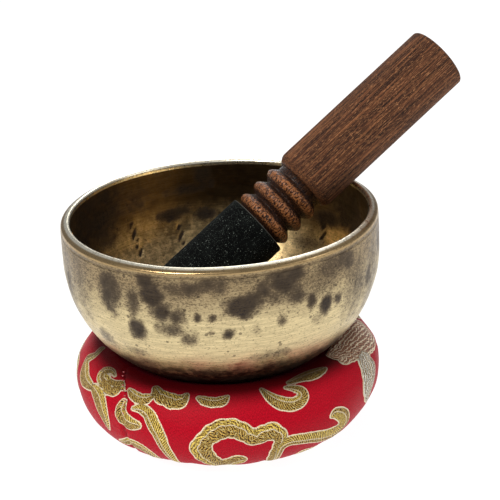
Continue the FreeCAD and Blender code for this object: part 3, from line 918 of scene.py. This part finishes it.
def brocade_material(settings):
    """Crimson satin with woven gold figures, outlined and veined in pale yarn."""
    material, n, shader = new_material("Brocade", Sheen_Weight=0.04, Sheen_Roughness=0.35,
                                       Sheen_Tint=(1.0, 0.05, 0.15), Specular_IOR_Level=0.08)
    figure = n.attribute("figure")
    vein = n.attribute("vein")
    yarn = n.parts(n.attribute("yarn", "Vector"))
    cloth = n.attribute("cloth", "Vector")
    along, height, crease = n.parts(cloth)
    wobble = n.noise(cloth, 2.2, 2.0, 0.5)
    ragged = n.times(n.minus(wobble, 0.5), 0.5)
    edge = n.plus(figure, ragged)
    gold_mask = n.step(edge, 0.10, -0.10)
    outline_mask = n.step(n.math("ABSOLUTE", edge), 0.36, 0.20)
    vein_mask = n.times(n.step(n.math("ABSOLUTE", vein), 0.30, 0.16), gold_mask)
    # twill ribs run slantwise across each figure
    slant = n.plus(n.times(yarn[0], 0.8), n.times(yarn[1], 0.6))
    slant = n.plus(slant, n.times(wobble, 0.9))
    rib = n.wave(slant, 0.85)
    strands = n.wave(height, 0.42)
    blotch = n.noise(cloth, 1.1, 3.0, 0.7)
    rib_share = n.step(n.plus(rib, n.times(strands, 0.45)), -0.3, 0.4)
    light_side = n.mix(rib_share, (0.11, 0.045, 0.008), (0.86, 0.62, 0.12))
    deep_side = n.mix(rib_share, (0.050, 0.016, 0.005), settings.gold[:])
    gold = n.mix(n.step(vein, -0.1, 0.1), deep_side, light_side)
    gold = n.mix(n.step(blotch, 0.52, 0.70), gold, (0.86, 0.74, 0.34))
    gold = n.mix(n.step(blotch, 0.40, 0.28), gold, (0.16, 0.11, 0.025))
    petal = n.math("MULTIPLY_ADD", yarn[1], math.tau / PETAL_PITCH, 0.4)
    petal = n.plus(petal, n.times(n.noise(cloth, 0.28, 2.0, 0.5), 9.0))
    petal = n.step(n.math("SINE", petal), 0.45, 0.85)
    silver = n.mix(rib_share, (0.16, 0.11, 0.05), (1.0, 0.97, 0.86))
    silver = n.tint(petal, 0.7, silver, (0.42, 0.24, 0.05))
    gold = n.mix(n.times(n.step(yarn[2], 0.6, 1.0), n.step(yarn[2], 1.15, 1.05)), gold, silver)
    copper = n.mix(rib_share, (0.12, 0.035, 0.018), (0.58, 0.30, 0.17))
    copper = n.mix(petal, copper, (0.95, 0.82, 0.60))
    gold = n.mix(n.step(yarn[2], 1.1, 1.2), gold, copper)
    weave = n.noise(n.stretch(cloth, (3.2, 1.4, 1)), 1.0, 3.0, 0.7)
    ground = n.mix(n.step(weave, 0.3, 0.7), tuple(0.62 * c for c in settings.crimson),
                   tuple(1.45 * c + 0.002 for c in settings.crimson))
    seam = n.step(crease, 0.5, 1.0, 0.0, 0.5)
    ground = n.mix(seam, ground, (0.12, 0.002, 0.006))
    colour = n.mix(gold_mask, ground, gold)
    colour = n.tint(vein_mask, 0.8, colour, settings.outline[:])
    colour = n.mix(outline_mask, colour, settings.outline[:])
    # painted shade: the cloth is darkened where the bowl beds in, for the shadow under the bowl;
    # the flower's petals are kept lighter
    bowl_shade = n.math("MAXIMUM", n.step(height, 9, 21, 1.0, 0.12), n.step(height, 27, 38, 0.0, 0.62))
    petals = n.times(n.step(yarn[2], 0.9, 1.0, 0.0, 0.9), gold_mask)
    colour = n.mix(1.0, colour, n.math("MAXIMUM", bowl_shade, petals), "MULTIPLY")
    n.set(shader["Base Color"], colour)
    yarn_mask = n.math("MAXIMUM", gold_mask, outline_mask)
    n.set(shader["Metallic"], n.times(yarn_mask, 0.35))
    n.set(shader["Roughness"], n.step(yarn_mask, 0.0, 1.0, 0.47, 0.40))
    across = n.wave(along, 0.36)
    satin = n.times(n.plus(strands, across), 0.12)
    ribs = n.times(n.plus(rib, n.times(strands, 0.6)), gold_mask)
    cords = n.math("MAXIMUM", outline_mask, vein_mask)
    relief = n.plus(n.plus(satin, ribs), n.times(cords, 1.6))
    n.set(shader["Normal"], n.bump(relief, 0.10 * MM, 0.8))
    return material


def thread_material():
    """Twisted red sewing thread."""
    material, n, shader = new_material("Sewing_thread", Roughness=0.7, Sheen_Weight=0.3)
    twist = n.noise(n.stretch(n.object_place(), (1500, 1500, 700)), 1.0, 2.0)
    n.set(shader["Base Color"], n.mix(twist, (0.24, 0.006, 0.012), (0.60, 0.09, 0.10)))
    n.set(shader["Normal"], n.bump(twist, 0.05 * MM))
    return material


class BOWL_OT_cushion(bpy.types.Operator):
    """Swell, pucker and weave the ring cushion"""
    bl_idname = "singing_bowl.cushion"
    bl_label = "Ring cushion"

    def execute(self, context):
        settings = context.scene.cushion_settings
        bm = turned_mesh(cushion_section(CLOTH_SLACK), CUSHION_STEPS, closed=True)
        piece = finished_object("ring_cushion", bm, "cushion",
                                brocade_material(settings), ["cushion"])
        bm = turned_mesh(cushion_section(), CUSHION_STEPS, closed=True)
        full = bpy.data.meshes.new("full")
        bm.to_mesh(full)
        bm.free()
        target = coordinates(full)
        bpy.data.meshes.remove(full)
        swell_cloth(piece, target, settings)
        finer = piece.modifiers.new("Finer", "SUBSURF")
        finer.levels = finer.render_levels = 1
        graph = bpy.context.evaluated_depsgraph_get()
        dressed = bpy.data.meshes.new_from_object(piece.evaluated_get(graph))
        piece.modifiers.remove(finer)
        piece.data = dressed
        dress_cushion(piece.data, settings)
        return {"FINISHED"}


class BOWL_OT_stitches(bpy.types.Operator):
    """Sew the joint of the brocade tube and thread its hole"""
    bl_idname = "singing_bowl.stitches"
    bl_label = "Stitches"

    def execute(self, context):
        material = thread_material()
        bm = bmesh.new()
        for number in range(int((STITCH_HIGH - STITCH_LOW) / STITCH_PITCH)):
            height = STITCH_LOW + number * STITCH_PITCH
            arc, angle = (SIDE_ARC if height > 0 else LOWER_ARC), height * MM
            centre_r, centre_z = CUSHION_RADIUS - arc, WAIST_Z
            angle /= arc
            if angle > SIDE_ANGLE:
                angle = SIDE_ANGLE + (height * MM - SIDE_ANGLE * SIDE_ARC) / CROWN_ARC
                arc, centre_r, centre_z = CROWN_ARC, CROWN_R, CROWN_Z
            made = bmesh.ops.create_icosphere(bm, subdivisions=1, radius=STITCH_RADIUS)
            stitch = made["verts"]
            bmesh.ops.scale(bm, verts=stitch, vec=STITCH_SHAPE)
            outward = Matrix.Rotation(math.radians(seam_azimuth(height)), 4, "Z")
            place = Matrix.Translation((centre_r + (arc - STITCH_DEPTH) * math.cos(angle), 0,
                                        centre_z + (arc - STITCH_DEPTH) * math.sin(angle)))
            tilt = Matrix.Rotation(STITCH_TILT, 4, "X")
            bmesh.ops.transform(bm, matrix=outward @ place @ tilt, verts=stitch)
        finished_object("joint_stitches", bm, "cushion", material, ["joint_thread"])
        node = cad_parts["gather_thread"]
        node.data.materials.clear()
        node.data.materials.append(material)
        return {"FINISHED"}


# ---------------------------------------------------------------- mallet
PITH_OFFSET = (26, 9, 0)   # mm from the mallet's axis
RING_PITCH = 1.9           # mm from one growth ring to the next
GRIP_EDGE = 1.1 * MM
GRIP_DOME = 0.5 * MM
CORE_EDGE = 0.5 * MM
SUEDE_EDGE = 0.6 * MM
SUEDE_GAP = 0.3 * MM       # at the butt joint


def mallet_matrix():
    """Lays a mallet that was made upright on the origin along its lean, tip first."""
    lean, azimuth = math.radians(MALLET_LEAN), math.radians(MALLET_AZIMUTH)
    way = Vector((math.cos(lean) * math.cos(azimuth), math.cos(lean) * math.sin(azimuth),
                  math.sin(lean)))
    tip = [SLEEVE_LOW[k] + SLEEVE_RADIUS * math.sqrt(1 - way[k]**2) for k in range(3)]
    turn = UP.rotation_difference(way).to_matrix().to_4x4()
    return Matrix.Translation(tip) @ turn


def place_mallet_piece(piece):
    """Writes the piece's own coordinates in mm for its grain, then lays it in place."""
    store(piece.data, "grain", coordinates(piece.data) / MM)
    piece.data.transform(mallet_matrix())
    piece.data.update()


def wood_section():
    """Section of the mallet from the middle of its tip, over the beads, to the end of its grip."""
    core = SLEEVE_RADIUS - SUEDE_THICKNESS - 0.05 * MM
    points = joined_points(
        line_points((0, 0), (core - CORE_EDGE, 0), 4),
        arc_points((core - CORE_EDGE, CORE_EDGE), CORE_EDGE, -math.pi / 2, 0, 4),
        line_points((core, CORE_EDGE), (core, SLEEVE_LENGTH), 30),
        line_points((core, SLEEVE_LENGTH), (NECK_RADIUS, SLEEVE_LENGTH + 0.05 * MM), 2))
    rise = BEAD_RADIUS - NECK_RADIUS
    for number in range(BEAD_COUNT):
        start = SLEEVE_LENGTH + number * BEAD_PITCH
        bead = []
        for i in range(1, 25):
            share = i / 24
            swell = abs(math.sin(math.pi * share))**1.15
            groove = GROOVE_EXTRA if number < BEAD_COUNT - 1 or i < 24 else 0
            bead.append((NECK_RADIUS - groove + (rise + groove) * swell,
                         start + BEAD_PITCH * share))
        points += bead
    start = SLEEVE_LENGTH + BEAD_COUNT * BEAD_PITCH + PLAIN_NECK
    points.append((NECK_RADIUS, start))
    for i in range(1, 15):
        share = i / 14
        swell = math.sin(math.pi / 2 * share)**0.8
        points.append((NECK_RADIUS + (GRIP_RADIUS - NECK_RADIUS) * swell,
                       start + GRIP_SHOULDER * share))
    end = MALLET_LENGTH - GRIP_DOME - GRIP_EDGE
    points += line_points((GRIP_RADIUS, start + GRIP_SHOULDER), (GRIP_RADIUS, end), 60)[1:]
    points += arc_points((GRIP_RADIUS - GRIP_EDGE, end), GRIP_EDGE, 0, math.pi / 2, 6)[1:]
    for i in range(1, 13):
        left = 1 - i / 12
        points.append(((GRIP_RADIUS - GRIP_EDGE) * left, MALLET_LENGTH - GRIP_DOME * left**2))
    return points


def rosewood_material(settings):
    """Rosewood: growth rings round an off-centre pith, dark streaks and open pores."""
    material, n, shader = new_material("Rosewood", Specular_IOR_Level=0.28)
    grain = n.attribute("grain", "Vector")
    wave = n.noise(n.stretch(grain, (0.06, 0.06, 0.012)), 1.0, 2.0)
    streaks = n.streaks(grain, 1.1, 0.022, 0.16)
    broad = n.streaks(grain, 0.28, 0.012, 0.22)
    fine = n.streaks(grain, 2.5, 0.05, 0.12)
    from_pith = n.length(n.stretch(grain, (1, 1, 0), PITH_OFFSET))
    ring = n.wave(n.plus(from_pith, n.times(wave, 7)), RING_PITCH)
    ring_share = n.step(ring, 0.0, 1.0, 0.0, 0.55)
    colour = n.mix(broad, settings.heartwood[:], (0.135, 0.046, 0.018))
    colour = n.mix(ring_share, colour, settings.dark_grain[:])
    colour = n.tint(streaks, 0.80, colour, settings.dark_grain[:])
    colour = n.tint(n.step(fine, 0.45, 0.80), 0.85, colour, (0.014, 0.006, 0.003))
    flecks = n.noise(n.stretch(grain, (4.5, 4.5, 0.5)), 1.0, 2.0, 0.6)
    colour = n.mix(n.step(flecks, 0.56, 0.70, 0.0, 0.65), colour, (0.60, 0.27, 0.11))
    # the beads cut across the fibres, so they show speckled and more orange
    from_tip = n.parts(grain)[2]
    sleeve_end = SLEEVE_LENGTH / MM
    grip_start = (SLEEVE_LENGTH + BEAD_COUNT * BEAD_PITCH + PLAIN_NECK) / MM
    on_beads = n.times(n.step(from_tip, sleeve_end - 1, sleeve_end),
                       n.step(from_tip, grip_start + 2.5, grip_start))
    speck = n.noise(n.stretch(grain, (1.7, 1.7, 0.42)), 1.0, 3.0, 0.65)
    bead_colour = n.mix(n.step(speck, 0.42, 0.60), (0.012, 0.004, 0.003), (0.44, 0.165, 0.055))
    colour = n.tint(on_beads, 0.9, colour, bead_colour)
    # painted shade: the grooves between the beads are darkened nearly to black
    from_axis = n.length(n.stretch(grain, (1, 1, 0)))
    groove_shade = n.times(n.step(from_axis, 14.1, 12.6), on_beads)
    colour = n.tint(groove_shade, 0.90, colour, (0.010, 0.004, 0.003))
    n.set(shader["Base Color"], colour)
    rough = n.step(on_beads, 0.0, 1.0, 0.80, 0.17)
    rough = n.plus(rough, n.times(streaks, 0.08))
    n.set(shader["Roughness"], rough)
    first = n.bump(n.times(fine, -1), 0.10 * MM, 0.7)
    n.set(shader["Normal"], n.bump(n.times(streaks, -1), 0.10 * MM, 0.6, first))
    return material


def suede_material(settings):
    """Black napped suede with pale lint in it and a raw cut edge at its top."""
    material, n, shader = new_material("Black_suede", Sheen_Weight=0.02, Sheen_Roughness=0.6,
                                       Sheen_Tint=(0.55, 0.62, 0.58), Specular_IOR_Level=0.08)
    grain = n.attribute("grain", "Vector")
    nap = n.noise(grain, 1.6, 4.0, 0.75)
    cloud = n.noise(grain, 0.16, 3.0, 0.6)
    colour = n.mix(n.step(nap, 0.35, 0.7), (0.0010, 0.0012, 0.0012), settings.suede[:])
    colour = n.tint(n.step(cloud, 0.45, 0.7), 0.5, colour, (0.008, 0.010, 0.009))
    lint = n.specks(n.stretch(grain, (1, 1, 0.55)), 1.7, 0.27, 0.6)
    dust = n.specks(grain, 3.0, 0.42, 0.6)
    colour = n.tint(lint, 0.55, colour, (0.30, 0.34, 0.30))
    colour = n.tint(dust, 0.35, colour, (0.16, 0.19, 0.16))
    from_tip = n.parts(grain)[2]
    top = SLEEVE_LENGTH / MM
    raw = n.step(from_tip, top - 0.5, top - 0.2, 0.0, 0.4)
    colour = n.mix(raw, colour, (0.17, 0.155, 0.13))
    n.set(shader["Base Color"], colour)
    n.set(shader["Roughness"], n.step(nap, 0.3, 0.7, 0.88, 1.0))
    n.set(shader["Normal"], n.bump(nap, 0.25 * MM, 0.8))
    return material


def sleeve_section():
    """Rounded section of the suede strip, as it lies round the core."""
    inner, outer = SLEEVE_RADIUS - SUEDE_THICKNESS, SLEEVE_RADIUS
    edge, chamfer = SUEDE_EDGE, 0.1 * MM
    return joined_points(
        line_points((inner, chamfer), (inner, SLEEVE_LENGTH - chamfer), 30),
        line_points((inner, SLEEVE_LENGTH - chamfer), (outer - edge, SLEEVE_LENGTH), 3),
        arc_points((outer - edge, SLEEVE_LENGTH - edge), edge, math.pi / 2, 0, 5),
        line_points((outer, SLEEVE_LENGTH - edge), (outer, edge), 60),
        arc_points((outer - edge, edge), edge, 0, -math.pi / 2, 5),
        line_points((outer - edge, 0), (inner, chamfer), 3))[:-1]


class BOWL_OT_mallet_wood(bpy.types.Operator):
    """Turn the rosewood mallet"""
    bl_idname = "singing_bowl.mallet_wood"
    bl_label = "Mallet wood"

    def execute(self, context):
        bm = turned_mesh(wood_section(), WOOD_STEPS, closed=False)
        piece = finished_object("turned_mallet", bm, "mallet",
                                rosewood_material(context.scene.mallet_settings), ["mallet_wood"])
        place_mallet_piece(piece)
        return {"FINISHED"}


class BOWL_OT_suede(bpy.types.Operator):
    """Roll the suede round the mallet's core"""
    bl_idname = "singing_bowl.suede"
    bl_label = "Suede sleeve"

    def execute(self, context):
        gap = SUEDE_GAP / SLEEVE_RADIUS
        bm = turned_mesh(sleeve_section(), SLEEVE_STEPS, closed=True, angle=math.tau - gap)
        bmesh.ops.holes_fill(bm, edges=[e for e in bm.edges if e.is_boundary])
        underside = mallet_matrix().to_3x3().inverted() @ -UP
        turn = math.atan2(underside.y, underside.x) + gap / 2
        bmesh.ops.rotate(bm, verts=bm.verts, matrix=Matrix.Rotation(turn, 3, "Z"))
        piece = finished_object("suede_wrap", bm, "mallet",
                                suede_material(context.scene.mallet_settings), ["suede_sleeve"])
        places = coordinates(piece.data)
        radius = axis_distance(places)
        nap = noise_values(places, 900, 1.3) * 0.05 * MM
        nap += noise_values(places, 140, 6.3) * 0.12 * MM
        on_face = radius > SLEEVE_RADIUS - 0.3 * MM
        places[:, :2] *= (1 + np.where(on_face, nap - 0.1 * MM, 0) / radius)[:, None]
        set_coordinates(piece.data, places)
        place_mallet_piece(piece)
        return {"FINISHED"}


# ---------------------------------------------------------------- stage
CAMERA_DISTANCE = 0.520       # from the middle of the rim
CAMERA_ELEVATION = 20.6
CAMERA_ROLL = 3.4
CAMERA_LENS = 85.0            # mm, on a 36 mm sensor
CAMERA_SHIFT = (0.0627, -0.0864)
FLOOR_SIZE = 6.0
SKY_COLOUR = (0.93, 0.95, 1.0, 1)
SKY_STRENGTH = 0.31
LAMP_AIM = Vector((0, 0, 0.06))
# Lamps: name, place, size, power and colour
LAMPS = (("key_lamp", (-0.55, -0.70, 0.95), 0.35, 11.0, (1.0, 0.97, 0.93)),
         ("fill_lamp", (0.9, -0.35, 0.6), 0.5, 2.2, (1, 1, 1)),
         ("back_lamp", (0.1, 0.9, 0.9), 0.6, 4.0, (1, 1, 1)))


def add_light(name, place, size, power, colour):
    """A soft square lamp that faces the middle of the bowl."""
    lamp = bpy.data.lights.new(name, "AREA")
    lamp.shape = "SQUARE"
    lamp.size = size
    lamp.energy = power
    lamp.color = colour
    made = bpy.data.objects.new(name, lamp)
    bpy.context.scene.collection.objects.link(made)
    made.location = place
    aim = LAMP_AIM - Vector(place)
    made.rotation_euler = aim.to_track_quat("-Z", "Y").to_euler()


class BOWL_OT_stage(bpy.types.Operator):
    """Set out the pale floor, the soft lamps and the camera"""
    bl_idname = "singing_bowl.stage"
    bl_label = "Stage"

    def execute(self, context):
        scene = context.scene
        bm = bmesh.new()
        bmesh.ops.create_grid(bm, x_segments=2, y_segments=2, size=FLOOR_SIZE)
        mesh = bpy.data.meshes.new("floor")
        bm.to_mesh(mesh)
        bm.free()
        floor = bpy.data.objects.new("floor", mesh)
        scene.collection.objects.link(floor)
        material = new_material("Pale_floor", Base_Color=(0.14, 0.14, 0.14), Roughness=0.9,
                                Emission_Color=(1.0, 1.0, 1.0), Emission_Strength=0.96)[0]
        mesh.materials.append(material)
        world = bpy.data.worlds.new("Studio")
        world.use_nodes = True
        sky = world.node_tree.nodes["Background"].inputs
        sky["Color"].default_value = SKY_COLOUR
        sky["Strength"].default_value = SKY_STRENGTH
        scene.world = world
        for lamp in LAMPS:
            add_light(*lamp)
        scene.view_settings.view_transform = "Standard"
        camera = bpy.data.objects.new("camera", bpy.data.cameras.new("camera"))
        scene.collection.objects.link(camera)
        rise = math.radians(CAMERA_ELEVATION)
        back = Vector((0, -math.cos(rise), math.sin(rise)))
        camera.location = Vector((0, 0, RIM_Z)) + back * CAMERA_DISTANCE
        level = Matrix.Rotation(math.pi / 2 - rise, 4, "X")
        roll = Matrix.Rotation(-math.radians(CAMERA_ROLL), 4, "Z")
        camera.rotation_euler = (level @ roll).to_euler()
        camera.data.lens = CAMERA_LENS
        camera.data.sensor_width = 36.0
        camera.data.shift_x, camera.data.shift_y = CAMERA_SHIFT
        camera.data.clip_start = 0.01
        scene.camera = camera
        return {"FINISHED"}


STEPS = (BOWL_OT_stage, BOWL_OT_shell, BOWL_OT_cushion, BOWL_OT_stitches, BOWL_OT_mallet_wood,
         BOWL_OT_suede)


class BOWL_PT_panel(bpy.types.Panel):
    """The steps that build the bowl, and its settings"""
    bl_idname = "BOWL_PT_panel"
    bl_label = "Singing bowl"
    bl_space_type = "VIEW_3D"
    bl_region_type = "UI"
    bl_category = "Singing bowl"

    def draw(self, context):
        for step in STEPS:
            self.layout.operator(step.bl_idname)
        for name in ("bowl_settings", "cushion_settings", "mallet_settings"):
            group = getattr(context.scene, name)
            for key in group.__annotations__:
                self.layout.prop(group, key)


SETTINGS = (BowlSettings, CushionSettings, MalletSettings)
CLASSES = (*SETTINGS, *STEPS, BOWL_PT_panel)


def register():
    for item in CLASSES:
        bpy.utils.register_class(item)
    bpy.types.Scene.bowl_settings = bpy.props.PointerProperty(type=BowlSettings)
    bpy.types.Scene.cushion_settings = bpy.props.PointerProperty(type=CushionSettings)
    bpy.types.Scene.mallet_settings = bpy.props.PointerProperty(type=MalletSettings)


def unregister():
    del bpy.types.Scene.mallet_settings
    del bpy.types.Scene.cushion_settings
    del bpy.types.Scene.bowl_settings
    for item in reversed(CLASSES):
        bpy.utils.unregister_class(item)


def main():
    register()
    for step in STEPS:
        area, name = step.bl_idname.split(".")
        getattr(getattr(bpy.ops, area), name)()


if __name__ == "__main__":
    main()
